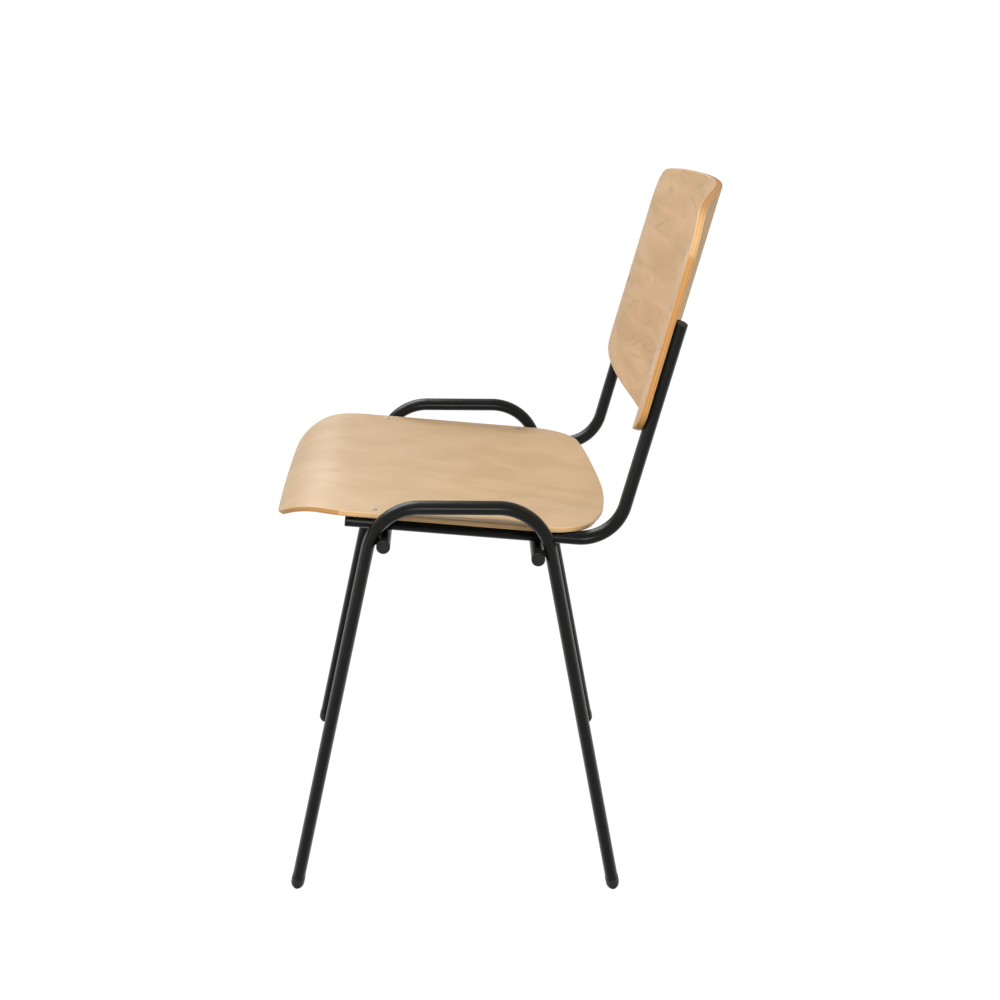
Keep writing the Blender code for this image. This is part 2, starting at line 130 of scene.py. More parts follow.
# Rims of the two shells
FLAT_COLUMNS = 26
CORNER_COLUMNS = 26
RIM_ROUND = 1.5 * MM
RIM_SUPPORT = 0.7 * MM  # narrow strip beside the rounding that keeps the face's shading flat
RIM_INSET = RIM_ROUND + RIM_SUPPORT
RIM_STEPS = 6
RIM_FACE_STEPS = 3  # steps of the rounding that still show the face veneer
PLIES = 5
SLOPE_STEP = 0.05 * MM  # distance over which the slope of a face is measured
FACE, RIM, UNDERSIDE = range(3)  # finishes of a shell in their order

# Plastic feet and plugs
FOOT_HEIGHT = 12 * MM
FOOT_LIP = 0.4 * MM
FOOT_SIDE = 7.8 * MM
FOOT_ROUND = 5 * MM
FOOT_ROUND_TURNS = [math.radians(5 * k) for k in range(18)]
PLUG_CAP = 2.5 * MM
PLUG_ROUND = 1.2 * MM
PLUG_ROUND_TURNS = [math.radians(15 * k) for k in range(7)]
PLUG_DEPTH = 14 * MM
PLUG_RIM = 1.6 * MM  # raised border of a cap
PLUG_HOLLOW = 0.35 * MM  # depth of the cap's face inside its border

# Domed bolts with a hexagon socket
BOLT_DIAMETER = 4 * MM
BOLT_HEAD_DIAMETER = 7 * MM
BOLT_HEAD_HEIGHT = 1.2 * MM
BOLT_HEAD_EASE = 0.2 * MM
BOLT_DOME_STEPS = 10
BOLT_END_ROOM = 1.5 * MM
BOLT_SOCKET = 1.25 * MM  # half the socket's width across flats
BOLT_SOCKET_DEPTH = 0.9 * MM
BOLT_SOCKET_EASE = 0.15 * MM
BACK_BOLT_DROP = 33 * MM
BOLT_SIDES = 48
CONTACT_GAP = 0.3 * MM
SLIP_GAP = 0.3 * MM

# Tones of the finishes, as linear colours
COAT_TONES = (0.0103, 0.0105, 0.0097), (0.0152, 0.0153, 0.0141)
COAT_SPECK_TONE = (0.035, 0.035, 0.034)
PLASTIC_TONES = (0.019, 0.0187, 0.018), (0.031, 0.0302, 0.029)
ZINC_TONES = (0.5, 0.505, 0.51), (0.66, 0.66, 0.64)
LONG_GRAIN_TONES = (0.84, 0.56, 0.295), (0.615, 0.317, 0.112)
CROSS_GRAIN_TONES = (0.78, 0.475, 0.21), (0.555, 0.252, 0.073)
GLUE_TONE = (0.36, 0.17, 0.06)
PORE_TONE = (0.33, 0.16, 0.06)
# Painted shade: darker wood laid over the edge past its painted highlight, which covers the backrest's top
# edge
PAINTED_SHADE_WOOD_TONE = (0.44, 0.28, 0.16)
FLAME_RINGS = 60.0
FLAME_DARKNESS = 0.72  # tone of the flame figure as a share of the tan wood
FLECK_DARKNESS = 0.55
FLECK_SHARE = 0.22

# Camera at the photograph's place, with its lens as a focal length on a 36 mm sensor
CAMERA_PLACE = Vector((2.510683, -0.051446, 1.129690))
CAMERA_RIGHT = Vector((0.01882558, 0.99976673, 0.0105874))
CAMERA_UP = Vector((-0.2779324, -0.00493904, 0.96058794))
CAMERA_LENS = 74.204
CAMERA_SENSOR = 36.0
HALF_PIXEL = 0.0005  # as a share of the picture's width

# Studio
FLOOR_HALF = 60.0
SOFTBOX_AIM = Vector((0.0, -0.03, 0.45))
WALL_LIGHT = 0.36
CEILING_LIGHT = 0.1
CEILING_BORDER = (0.45, 0.95)  # rise of the view between which the walls turn into the ceiling
FLOOR_TONES = (0.6, 0.6, 0.6), (0.62, 0.62, 0.62)
FLOOR_GLOW = 1.07
FLOOR_GLOW_SHARE = 0.95
SOFTBOXES = {  # place, width, height and power in watts
    "camera_side_softbox": ((1.75, -0.1, 2.4), 0.72, 0.8, 61.0),
    "far_side_softbox": ((-2.2, -0.85, 1.75), 1.4, 1.0, 26.0),
    "front_softbox": ((0.4, -2.6, 0.7), 1.4, 1.2, 13.0),
    "rear_softbox": ((0.3, 2.6, 0.9), 1.4, 1.2, 5.5),
}


# Node writing

class Signal:
    """Output of a node in a finish. Arithmetic on a number adds Math nodes."""

    def __init__(self, finish, socket):
        self.finish = finish
        self.socket = socket

    def math(self, operation, *terms):
        return self.finish.node("ShaderNodeMath", {"operation": operation}, dict(enumerate(terms)))

    def __add__(self, other):
        return self.math("ADD", self, other)

    __radd__ = __add__

    def __sub__(self, other):
        return self.math("SUBTRACT", self, other)

    def __rsub__(self, other):
        return self.math("SUBTRACT", other, self)

    def __mul__(self, other):
        return self.math("MULTIPLY", self, other)

    __rmul__ = __mul__

    def __mod__(self, other):
        return self.math("FLOORED_MODULO", self, other)

    def __rmod__(self, other):
        return self.math("FLOORED_MODULO", other, self)

    def __gt__(self, other):
        return self.math("GREATER_THAN", self, other)

    def __lt__(self, other):
        return self.math("LESS_THAN", self, other)

    def larger(self, other):
        return self.math("MAXIMUM", self, other)

    def sine(self):
        return self.math("SINE", self)

    def size(self):
        return self.math("ABSOLUTE", self)


class Finish:
    """Node tree of a material, or of the studio's world, written one node at a time."""

    def __init__(self, tree):
        self.tree = tree
        tree.nodes.clear()

    def node(self, kind, settings=None, inputs=None, out=0):
        """Adds a node: its settings first, then its sockets by name or number; gives one of its outputs."""
        made = self.tree.nodes.new(kind)
        for key, value in (settings or {}).items():
            setattr(made, key, value)
        for key, value in (inputs or {}).items():
            if isinstance(value, Signal):
                self.tree.links.new(value.socket, made.inputs[key])
            else:
                made.inputs[key].default_value = value
        return Signal(self, made.outputs[out]) if len(made.outputs) else None

    def place(self):
        """Place on the piece."""
        return self.node("ShaderNodeTexCoord", out="Object")

    def veneer(self):
        """Place on a shell's flat veneer, with the depth below its face as a share of the thickness."""
        return self.node("ShaderNodeAttribute", {"attribute_name": "veneer"}, out="Vector")

    def mix(self, share, first, second):
        """Colour between two, by a share from 0 to 1."""
        first, second = (c if isinstance(c, Signal) else (*c, 1.0) for c in (first, second))
        settings = {"data_type": "RGBA", "blend_type": "MIX", "clamp_factor": True}
        # The node's colours are its sockets 6 and 7 and its output 2
        return self.node("ShaderNodeMix", settings, {0: share, 6: first, 7: second}, out=2)

    def smooth(self, value, low, high):
        """0 below low, 1 above high, with a soft change between."""
        settings = {"interpolation_type": "SMOOTHSTEP", "clamp": True}
        sockets = {"Value": value, "From Min": low, "From Max": high}
        return self.node("ShaderNodeMapRange", settings, sockets)

    def stretch(self, vector, lengths, offset=(0.0, 0.0, 0.0)):
        """Vector counted in the given lengths along each axis."""
        counts = [1.0 / length for length in lengths]
        settings = {"operation": "MULTIPLY_ADD"}
        return self.node("ShaderNodeVectorMath", settings, {0: vector, 1: counts, 2: offset})

    def noise(self, vector, detail, roughness=0.5, distortion=0.0):
        sockets = {"Vector": vector, "Scale": 1.0, "Detail": detail}
        sockets.update({"Roughness": roughness, "Distortion": distortion})
        return self.node("ShaderNodeTexNoise", None, sockets)

    def axis(self, vector, letter):
        return self.node("ShaderNodeSeparateXYZ", None, {"Vector": vector}, out=letter)

    def bump(self, height, distance, strength):
        sockets = {"Strength": strength, "Distance": distance, "Height": height}
        return self.node("ShaderNodeBump", None, sockets)

    def surface(self, sockets):
        shader = self.node("ShaderNodeBsdfPrincipled", None, sockets)
        self.node("ShaderNodeOutputMaterial", None, {"Surface": shader})


def new_finish(name):
    material = bpy.data.materials.new(name)
    material.use_nodes = True
    return material, Finish(material.node_tree)


# Finishes

def powder_coat():
    """Satin black powder coat: fine orange peel with faint paler specks."""
    material, f = new_finish("black_powder_coat")
    place = f.place()
    peel = f.noise(f.stretch(place, (0.9 * MM,) * 3), detail=3.0, roughness=0.6)
    cloud = f.noise(f.stretch(place, (45 * MM,) * 3), detail=3.0)
    speck = f.smooth(f.noise(f.stretch(place, (0.35 * MM,) * 3), detail=1.0), 0.68, 0.78)
    f.surface({
        "Base Color": f.mix(speck * 0.35, f.mix(cloud, *COAT_TONES), COAT_SPECK_TONE),
        "Roughness": 0.22 + cloud * 0.08 + peel * 0.05,
        "Specular IOR Level": 0.07,
        "Normal": f.bump(peel, 0.05 * MM, 0.5),
    })
    return material


def black_plastic():
    """Moulded polypropylene: matt, with a fine spark-eroded grain and light scuffs."""
    material, f = new_finish("black_moulded_plastic")
    place = f.place()
    grain = f.noise(f.stretch(place, (0.5 * MM,) * 3), detail=2.0)
    scuff = f.smooth(f.noise(f.stretch(place, (6 * MM, 6 * MM, 2 * MM)), detail=4.0), 0.55, 0.75)
    f.surface({
        "Base Color": f.mix(scuff * 0.5, *PLASTIC_TONES),
        "Roughness": 0.4 + grain * 0.12 + scuff * 0.1,
        "Specular IOR Level": 0.15,
        "Normal": f.bump(grain, 0.06 * MM, 0.4),
    })
    return material


def zinc_plate():
    """Dull zinc plating with fine turning marks and small cloudy spots."""
    material, f = new_finish("zinc_plated_steel")
    place = f.place()
    cloud = f.noise(f.stretch(place, (2.5 * MM,) * 3), detail=3.0)
    marks = f.noise(f.stretch(place, (0.12 * MM, 0.9 * MM, 0.12 * MM)), detail=2.0)
    f.surface({
        "Base Color": f.mix(cloud, *ZINC_TONES),
        "Metallic": 1.0,
        "Roughness": 0.4 + cloud * 0.14 + marks * 0.08,
        "Normal": f.bump(marks, 0.02 * MM, 0.5),
    })
    return material


def beech_face(name, pale, tan, blotch_lengths, streak_lengths, flame_share, lacquer, offset):
    """Lacquered rotary-cut beech: soft blotches, streaks along the grain, flame figure and ray flecks.

    The lengths give the size of the figure across the shell, along it and through it.
    """
    material, f = new_finish(name)
    veneer = f.veneer()

    def figure(lengths, **texture):
        return f.noise(f.stretch(veneer, lengths, offset), **texture)

    blotch = figure(blotch_lengths, detail=2.0, distortion=0.4)
    streak = figure(streak_lengths, detail=3.0)
    fibre = figure((0.9 * MM, 38 * MM, 1.0), detail=3.0, roughness=0.6)
    growth = figure((190 * MM, 48 * MM, 1.0), detail=1.0, distortion=0.6)
    patchy = figure((60 * MM, 26 * MM, 1.0), detail=1.0)
    flame = f.smooth((growth * FLAME_RINGS).sine(), 0.4, 1.0) * f.smooth(patchy, 0.48, 0.66)
    cell = f.stretch(veneer, (1.5 * MM, 4.2 * MM, 1.0), offset)
    cells = {"Vector": cell, "Scale": 1.0, "Randomness": 0.9}
    centre = f.node("ShaderNodeTexVoronoi", {"feature": "F1"}, cells)
    chosen = f.smooth(figure((7 * MM, 16 * MM, 1.0), detail=1.0), 0.42, 0.62)
    fleck = (1.0 - f.smooth(centre, 0.1, 0.3)) * chosen
    shade = f.smooth(blotch, 0.32, 0.68) * 0.64 + streak * 0.14 + fibre * 0.22
    wood = f.mix(shade, pale, tan)
    wood = f.mix(flame * flame_share, wood, tuple(FLAME_DARKNESS * c for c in tan))
    wood = f.mix(fleck * FLECK_SHARE, wood, tuple(FLECK_DARKNESS * c for c in tan))
    f.surface({
        "Base Color": wood,
        "Roughness": 0.5 + fibre * 0.1 + fleck * 0.12,
        "Specular IOR Level": 0.15,
        "Coat Weight": lacquer,
        "Coat Roughness": 0.24,
        "Normal": f.bump(fibre - fleck * 0.6, 0.04 * MM, 0.35),
    })
    return material


def ply_edge(name, painted_light_span, painted_light_share):
    """Sanded and lacquered edge: plies in turn along and across the grain, with thin glue lines between.

    The second argument gives where along the shell the edge is painted paler as a painted highlight, the
    third how much; outside that span the edge keeps a darker tone that stands for painted shade.
    """
    material, f = new_finish(name)
    veneer = f.veneer()
    wander = f.noise(f.stretch(veneer, (60 * MM, 60 * MM, 1.0)), detail=2.0) - 0.5
    depth = f.axis(veneer, "Z") * PLIES + wander * 0.3
    cross_ply = (depth * 0.5 % 1.0) > 0.5
    across_grain = f.smooth((depth * math.pi).sine().size() * cross_ply, 0.15, 0.6)
    glue = f.smooth((depth % 1.0 - 0.5).size(), 0.4, 0.5)
    pores = f.noise(f.stretch(veneer, (0.6 * MM, 0.6 * MM, 0.05)), detail=2.0)
    patches = f.noise(f.stretch(veneer, (30 * MM, 55 * MM, 0.6)), detail=3.0)
    place = f.axis(veneer, "Y")
    # Painted light: the edge is painted paler along the given span, and left darker outside it as painted
    # shade
    start, stop = painted_light_span
    pale = f.smooth(place, start, start + 5 * MM) * (1.0 - f.smooth(place, stop, stop + 22 * MM))
    # Painted shade: past the span's end the edge is darkened, which covers the top edge of the backrest
    painted_end_shade = f.smooth(place, stop + 15 * MM, stop + 40 * MM)
    tone = 0.75 + patches * 0.5 - pale * painted_light_share
    wood = f.mix(across_grain, f.mix(tone, *LONG_GRAIN_TONES), f.mix(tone, *CROSS_GRAIN_TONES))
    wood = f.mix(glue * 0.15, wood, GLUE_TONE)
    wood = f.mix(painted_end_shade * 0.5, wood, PAINTED_SHADE_WOOD_TONE)
    wood = f.mix(pores * across_grain * 0.25, wood, PORE_TONE)
    f.surface({
        "Base Color": wood,
        "Roughness": 0.46 + pores * 0.12,
        "Specular IOR Level": 0.25,
        "Normal": f.bump(pores * 0.5 - glue, 0.06 * MM, 0.4),
    })
    return material


def white_floor():
    """Pale floor that looks white straight on and in reflections, and keeps part of the chair's shadow."""
    material, f = new_finish("white_floor")
    rays = ("Is Camera Ray", "Is Glossy Ray", "Is Transmission Ray")
    camera, glossy, transmission = (f.node("ShaderNodeLightPath", out=ray) for ray in rays)
    direct = camera.larger(glossy).larger(transmission)
    cloud = f.noise(f.stretch(f.place(), (0.4, 0.4, 0.4)), detail=3.0)
    painted = f.node("ShaderNodeBsdfDiffuse", None, {"Color": f.mix(cloud, *FLOOR_TONES)})
    white = {"Color": (1.0, 1.0, 1.0, 1.0), "Strength": FLOOR_GLOW}
    glow = f.node("ShaderNodeEmission", None, white)
    mixed = f.node("ShaderNodeMixShader", None, {0: direct * FLOOR_GLOW_SHARE, 1: painted, 2: glow})
    f.node("ShaderNodeOutputMaterial", None, {"Surface": mixed})
    return material


# Mesh helpers

def add_piece(name, bm, finishes, nodes):
    """Piece in the chair's frame that rides with the chair and stands for the named solids."""
    bmesh.ops.translate(bm, verts=bm.verts, vec=(0.0, FEET_MIDDLE_Y, 0.0))
    bmesh.ops.recalc_face_normals(bm, faces=bm.faces)
    mesh = bpy.data.meshes.new(name)
    bm.to_mesh(mesh)
    bm.free()
    mesh.shade_smooth()
    mesh.set_sharp_from_angle(angle=SHARP_ANGLE)
    for finish in finishes:
        mesh.materials.append(finish)
    piece = bpy.data.objects.new(name, mesh)
    bpy.context.scene.collection.objects.link(piece)
    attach(piece, "root")
    if nodes:
        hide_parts(*nodes)


def oval_ring(half_width, half_depth, height, sides):
    angles = (2 * math.pi * k / sides for k in range(sides))
    return [Vector((half_width * math.cos(a), half_depth * math.sin(a), height)) for a in angles]


def skin(bm, first, second):
    for k in range(len(first)):
        following = (k + 1) % len(first)
        bm.faces.new((first[k], first[following], second[following], second[k]))


def loft(rings):
    """Closed body through a row of rings."""
    bm = bmesh.new()
    loops = [[bm.verts.new(point) for point in ring] for ring in rings]
    for first, second in zip(loops, loops[1:]):
        skin(bm, first, second)
    bm.faces.new(loops[0])
    bm.faces.new(loops[-1])
    return bm


def bend(corners, radius):
    """Centreline through the corners, with a fine arc at each inner one."""
    path = [corners[0]]
    for before, corner, after in zip(corners, corners[1:], corners[2:]):
        arriving = (corner - before).normalized()
        leaving = (after - corner).normalized()
        turn = arriving.angle(leaving)
        centre = corner + (leaving - arriving).normalized() * radius / math.cos(turn / 2)
        axis = arriving.cross(leaving).normalized()
        spoke = corner - arriving * radius * math.tan(turn / 2) - centre
        for step in range(BEND_STEPS + 1):
            path.append(centre + Matrix.Rotation(turn * step / BEND_STEPS, 3, axis) @ spoke)
    path.append(corners[-1])
    return path


def directions(path, closed=False):
    """Unit direction of a path at each of its points."""
    steps = [(b - a).normalized() for a, b in zip(path, path[1:] + path[:1])]
    if closed:
        return [(before + after).normalized() for before, after in zip(steps[-1:] + steps, steps)]
    steps = steps[:1] + steps[:-1] + steps[-2:-1]
    return [(before + after).normalized() for before, after in zip(steps, steps[1:])]


def hollow_tube(path, across, width, depth, wall, sides):
    """Tube with open ends; across is the direction of the section's width all along the path."""
    bm = bmesh.new()
    outer, inner = [], []
    for point, along in zip(path, directions(path)):
        inplane = along.cross(across).normalized()
        for loops, thinner in ((outer, 0.0), (inner, wall)):
            ring = oval_ring(width / 2 - thinner, depth / 2 - thinner, 0.0, sides)
            loops.append([bm.verts.new(point + across * p.x + inplane * p.y) for p in ring])
    for loops in (outer, inner):
        for first, second in zip(loops, loops[1:]):
            skin(bm, first, second)
    skin(bm, outer[0], inner[0])
    skin(bm, outer[-1], inner[-1])
    return bm


def aim(place, up, across):
    """Frame at a place whose Z axis is up and whose X axis lies as near to across as it can."""
    z = up.normalized()
    y = z.cross(across).normalized()
    x = y.cross(z)
    return Matrix.Translation(place) @ Matrix((x, y, z)).transposed().to_4x4()


# Places that several pieces share

def leg_x(height):
    fall = (LEG_SPACING_FLOOR - LEG_SPACING_TOP) / HOOP_HEIGHT
    return (LEG_SPACING_FLOOR - fall * height) / 2


def leg_point(side, y, height):
    return Vector((side * leg_x(height), y, height))


def leg_top(side, foot_y, lean):
    """Corner where a leg's line meets the top bar's line."""
    inward = math.copysign(1.0, -foot_y)
    return leg_point(side, foot_y + inward * math.tan(lean) * HOOP_HEIGHT, HOOP_HEIGHT)


def leg_across(side):
    return Vector((1.0, 0.0, side * (LEG_SPACING_FLOOR - LEG_SPACING_TOP) / 2 / HOOP_HEIGHT)).normalized()


def leg_path(side):
    corners = []
    for foot_y, lean in FEET.values():
        top = leg_top(side, foot_y, lean)
        floor = leg_point(side, foot_y, 0.0)
        corners.append((floor + (top - floor).normalized() * FOOT_HEIGHT, top))
    (front_end, front_top), (rear_end, rear_top) = corners
    return bend([front_end, front_top, rear_top, rear_end], HOOP_BEND_RADIUS)


def cross_centre(end):
    """Middle of a cross tube, from its solid."""
    low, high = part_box("cross_tube_" + end)
    middle = (low + high) / 2
    return Vector((0.0, middle.y - FEET_MIDDLE_Y, middle.z))


CROSS = {end: cross_centre(end) for end in FEET}
RAIL_X = leg_x(RAIL_HEIGHT) - TUBE_WIDTH - RAIL_LEG_GAP
RAIL_TURN = math.pi / 2 - UPRIGHT_LEAN + RAIL_PITCH
RAIL_BEND_START = RAIL_REAR_LENGTH - RAIL_BEND_RADIUS * math.tan(RAIL_TURN / 2)
SEAT_FRAME = Matrix.Translation((0.0, 0.0, RAIL_HEIGHT)) @ Matrix.Rotation(-RAIL_PITCH, 4, "X")
UPRIGHT_FOOT = SEAT_FRAME @ Vector((0.0, RAIL_REAR_LENGTH, 0.0))
BACK_FRAME = Matrix.Translation(UPRIGHT_FOOT) @ Matrix.Rotation(-UPRIGHT_LEAN, 4, "X")


# Frame

def leg_frame(name, side, coat):
    bm = hollow_tube(leg_path(side), leg_across(side), *OVAL_TUBE)
    node = "leg_frame_" + name
    add_piece(node + "_coated", bm, [coat], [node])


def rail_path(side):
    front = SEAT_FRAME @ Vector((side * RAIL_X, -RAIL_FRONT_LENGTH + PLUG_CAP, 0.0))
    corner = BACK_FRAME @ Vector((side * RAIL_X, 0.0, 0.0))
    top = BACK_FRAME @ Vector((side * RAIL_X, 0.0, UPRIGHT_LENGTH - PLUG_CAP))
    return bend([front, corner, top], RAIL_BEND_RADIUS)


def rail(name, side, coat):
    bm = hollow_tube(rail_path(side), ACROSS, *OVAL_TUBE)
    node = "rail_" + name
    add_piece(node + "_coated", bm, [coat], [node])


def cross_tip(end):
    centre = CROSS[end]
    return Vector((leg_x(centre.z) + TUBE_WIDTH / 2, centre.y, centre.z))


def cross_tube(end, coat):
    tip = cross_tip(end)
    half = tip.x - PLUG_CAP
    path = [Vector((x, tip.y, tip.z)) for x in (-half, 0.0, half)]
    bm = hollow_tube(path, BACKWARDS, *ROUND_TUBE)
    node = "cross_tube_" + end
    add_piece(node + "_coated", bm, [coat], [node])


def weld_bead(name, place, towards, coat):
    """Bead all round the contact of a cross tube and an oval tube that lies in the direction towards."""
    sideways = ACROSS.cross(towards)
    round_reach = CROSS_DIAMETER / 2 + BEAD_RADIUS * (1 - BEAD_SINK)
    oval_start = CROSS_DIAMETER / 2 + CONTACT_GAP - BEAD_RADIUS * (1 - BEAD_SINK)
    rise = (round_reach - oval_start) / (TUBE_DEPTH / 2)
    half_length = TUBE_WIDTH / 2 * math.sqrt(1 - (1 - rise) ** 2)
    path = []
    for step in range(BEAD_STEPS):
        turn = 2 * math.pi * step / BEAD_STEPS
        offset = half_length * math.cos(turn)
        height = oval_start + TUBE_DEPTH / 2 * (1 - math.sqrt(1 - (offset / (TUBE_WIDTH / 2)) ** 2))
        aside = math.copysign(math.sqrt(max(round_reach ** 2 - height ** 2, 0.0)), math.sin(turn))
        path.append(place + Vector((offset, 0.0, 0.0)) + towards * height + sideways * aside)
    bm = bmesh.new()
    loops = []
    for step, (point, along) in enumerate(zip(path, directions(path, closed=True))):
        radius = BEAD_RADIUS * (1 + BEAD_RIPPLE * math.sin(2 * math.pi * step * BEAD_RIPPLES / BEAD_STEPS))
        turned = aim(point, along, towards)
        loops.append([bm.verts.new(turned @ p) for p in oval_ring(radius, radius, 0.0, BEAD_SIDES)])
    for first, second in zip(loops, loops[1:] + loops[:1]):
        skin(bm, first, second)
    add_piece(name, bm, [coat], [])


def welds(name, side, coat):
    """Beads between each cross tube and the rail above it, and between it and the leg beside it."""
    on_rail = SEAT_FRAME.to_3x3() @ UP
    for end, centre in CROSS.items():
        on_leg = min(leg_path(side), key=lambda point: math.hypot(point.y - centre.y, point.z - centre.z))
        foot_y, lean = FEET[end]
        inward = math.copysign(1.0, -foot_y)
        to_leg = Vector((0.0, -inward * math.cos(lean), math.sin(lean)))
        if (on_leg - centre).yz.length < TUBE_WIDTH:  # the tube lies beside the bend, not the straight leg
            to_leg = Vector((0.0, on_leg.y - centre.y, on_leg.z - centre.z)).normalized()
        weld_bead(f"weld_rail_{end}_{name}", Vector((side * RAIL_X, centre.y, centre.z)), on_rail, coat)
        weld_bead(f"weld_leg_{end}_{name}", leg_point(side, centre.y, centre.z), to_leg, coat)


# Plastic feet and plugs

def foot(end, name, plastic):
    """Tip with a spigot in the tube, a rounded rim and a flat sole on the floor."""
    side = SIDES[name]
    foot_y, lean = FEET[end]
    floor = leg_point(side, foot_y, 0.0)
    leaning = aim(Vector(), leg_top(side, foot_y, lean) - floor, leg_across(side))
    spigot = TUBE_WALL + SLIP_GAP
    cap_top = FOOT_HEIGHT - CONTACT_GAP
    ease = CONTACT_GAP
    round_start = cap_top - FOOT_SIDE
    sections = [
        (FOOT_HEIGHT + PLUG_DEPTH, -spigot),
        (cap_top, -spigot),
        (cap_top, FOOT_LIP - ease),
        (cap_top - ease, FOOT_LIP),
    ]
    for turn in FOOT_ROUND_TURNS:
        height = round_start - FOOT_ROUND * math.sin(turn)
        sections.append((height, FOOT_LIP - FOOT_ROUND * (1 - math.cos(turn))))
    rings = []
    for height, grow in sections:
        ring = oval_ring(TUBE_WIDTH / 2 + grow, TUBE_DEPTH / 2 + grow, height, OVAL_SIDES)
        rings.append([leaning @ point for point in ring])
    bm = loft(rings)
    everything = bm.verts[:] + bm.edges[:] + bm.faces[:]
    cut = bmesh.ops.bisect_plane(
        bm, geom=everything, plane_co=(0.0, 0.0, 0.0), plane_no=(0.0, 0.0, 1.0), clear_inner=True
    )
    sole = [item for item in cut["geom_cut"] if isinstance(item, bmesh.types.BMEdge)]
    bmesh.ops.edgenet_fill(bm, edges=sole)
    bmesh.ops.translate(bm, verts=bm.verts, vec=floor)
    node = f"foot_{end}_{name}"
    add_piece(node + "_moulded", bm, [plastic], [node])


def end_plug(node, matrix, width, depth, wall, sides, plastic):
    """Plug whose cap has a rounded rim and a slightly sunk face."""
    rim = -PLUG_CAP + CONTACT_GAP
    spigot = wall + SLIP_GAP
    sections = [(rim - PLUG_DEPTH, -spigot), (rim, -spigot), (rim, 0.0)]
    for turn in PLUG_ROUND_TURNS:
        sections.append((-PLUG_ROUND * (1 - math.sin(turn)), -PLUG_ROUND * (1 - math.cos(turn))))
    sections += [(0.0, -PLUG_RIM), (-PLUG_HOLLOW, -PLUG_RIM - PLUG_HOLLOW)]
    rings = [oval_ring(width / 2 + grow, depth / 2 + grow, height, sides) for height, grow in sections]
    bm = loft([[matrix @ point for point in ring] for ring in rings])
    add_piece(node + "_moulded", bm, [plastic], [node])


def plugs(name, side, plastic):
    front = SEAT_FRAME @ Vector((side * RAIL_X, -RAIL_FRONT_LENGTH, 0.0))
    matrix = aim(front, SEAT_FRAME.to_3x3() @ FORWARDS, ACROSS)
    end_plug("rail_plug_" + name, matrix, *OVAL_TUBE, plastic)
    top = BACK_FRAME @ Vector((side * RAIL_X, 0.0, UPRIGHT_LENGTH))
    matrix = aim(top, BACK_FRAME.to_3x3() @ UP, ACROSS)
    end_plug("upright_plug_" + name, matrix, *OVAL_TUBE, plastic)
    for end in CROSS:
        tip = cross_tip(end)
        tip.x *= side
        matrix = aim(tip, ACROSS * side, BACKWARDS)
        end_plug(f"cross_plug_{end}_{name}", matrix, *ROUND_TUBE, plastic)


# Moulded plywood shells

def rounded_edge(x, half_width, reach, arch, corner):
    """How far a shell's arched edge stands out at x; its corner arcs run into the straight sides."""
    arch_centre = reach - arch
    corner_x = half_width - corner
    meeting_x = arch * corner_x / (arch - corner)
    if abs(x) <= meeting_x:
        return arch_centre + math.sqrt(arch ** 2 - x ** 2)
    corner_y = arch_centre + math.sqrt((arch - corner) ** 2 - corner_x ** 2)
    return corner_y + math.sqrt(max(corner ** 2 - (abs(x) - corner_x) ** 2, 0.0))


def shell_columns(half_width, corner):
    """Places across a shell, close together where its corners turn."""
    flat = half_width - corner
    columns = [flat * k / FLAT_COLUMNS for k in range(FLAT_COLUMNS)]
    turns = [math.pi / 2 * k / CORNER_COLUMNS for k in range(CORNER_COLUMNS + 1)]
    columns += [flat + corner * math.sin(turn) for turn in turns]
    return [-x for x in reversed(columns[1:])] + columns


def rim_profile(thickness):
    """Places round the rim as a distance in from the edge and a depth below the face."""
    turns = [math.pi / 2 * k / RIM_STEPS for k in range(RIM_STEPS + 1)]
    upper = [(RIM_ROUND * (1 - math.sin(turn)), RIM_ROUND * (1 - math.cos(turn))) for turn in turns]
    lower = [(inset, thickness - depth) for inset, depth in reversed(upper)]
    return upper + lower


